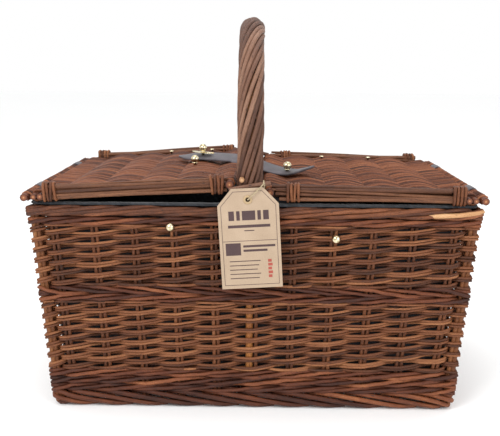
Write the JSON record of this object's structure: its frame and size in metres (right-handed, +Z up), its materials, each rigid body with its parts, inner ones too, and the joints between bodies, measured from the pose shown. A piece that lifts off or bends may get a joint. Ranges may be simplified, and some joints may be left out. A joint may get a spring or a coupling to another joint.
{
  "type": "picnic basket",
  "caption": "Rectangular woven willow picnic basket with two hinged lids, a fixed roped arch handle, fabric lining, a leather closing strap and a hang tag.",
  "frame": {"origin": "on the ground under the middle of the basket", "axes": "+X along the length to the right, +Y to the back, +Z up; the front with the hang tag faces -Y"},
  "size_m": [0.4738, 0.3114, 0.414],
  "materials": {
    "willow": "stained willow weavers",
    "willow_thick": "stained thick willow rods",
    "willow_pale": "lighter peeled willow",
    "willow_handle": "stained willow rods, greyer",
    "charcoal_cloth": "plain woven cloth",
    "black_leather": "smooth black leather",
    "brass": "polished brass plate",
    "eyelet": "card ring",
    "card": "kraft card",
    "cotton_string": "twisted cotton string"
  },
  "bodies": {
    "basket": {"base_sticks": "willow", "base_weave": "willow", "foot_border": "willow_thick", "bottom_wale": "willow_thick", "lower_siding": "willow", "middle_wale": "willow_thick", "upper_siding": "willow", "top_wale": "willow_thick", "rim_border": "willow_thick", "corner_posts": "willow_pale", "side_stakes": "willow", "liner": "charcoal_cloth", "liner_hem": "charcoal_cloth", "handle_bow": "willow_pale", "handle_rope": "willow_handle", "handle_wraps": "willow_handle", "handle_pegs": "willow_pale", "front_studs": "brass", "front_stud_washers": "brass", "left_hinge_loops": "black_leather", "right_hinge_loops": "black_leather"},
    "left_lid": {"left_lid_end_sticks": "willow_thick", "left_lid_sticks": "willow", "left_lid_weave": "willow", "left_lid_borders": "willow_thick", "left_lid_bindings": "willow_thick", "left_lid_lining": "charcoal_cloth", "left_lid_studs": "brass", "left_ball_studs": "brass", "strap_plate": "brass"},
    "right_lid": {"right_lid_end_sticks": "willow_thick", "right_lid_sticks": "willow", "right_lid_weave": "willow", "right_lid_borders": "willow_thick", "right_lid_bindings": "willow_thick", "right_lid_lining": "charcoal_cloth", "right_lid_studs": "brass", "right_ball_stud": "brass"},
    "strap": {"closing_strap": "black_leather"},
    "tag_string": {"tag_string": "cotton_string"},
    "hang_tag": {"tag": "card", "tag_eyelet": "eyelet"}
  },
  "joints": [
    {"name": "left_lid_hinge", "type": "hinge", "parent": "basket", "child": "left_lid", "pos_m": [-0.231, 0, 0.23], "axis": [0, -1, 0], "range_deg": [0, 105], "deforming": ["closing_strap"]},
    {"name": "right_lid_hinge", "type": "hinge", "parent": "basket", "child": "right_lid", "pos_m": [0.231, 0, 0.23], "axis": [0, 1, 0], "range_deg": [0, 105]},
    {"name": "strap_lift", "type": "hinge", "parent": "left_lid", "child": "strap", "pos_m": [-0.04752, 0.01236, 0.25359], "axis": [-0.5592, -0.829, 0], "range_deg": [0, 110]},
    {"name": "tag_lift", "type": "hinge", "parent": "basket", "child": "tag_string", "pos_m": [0.01, -0.1502, 0.24597], "axis": [-0.9848, 0, -0.1736], "range_deg": [0, 80]},
    {"name": "tag_turn", "type": "hinge", "parent": "tag_string", "child": "hang_tag", "pos_m": [-0.006, -0.1556, 0.2315], "axis": [0, -1, 0], "range_deg": [-20, 20]}
  ]
}
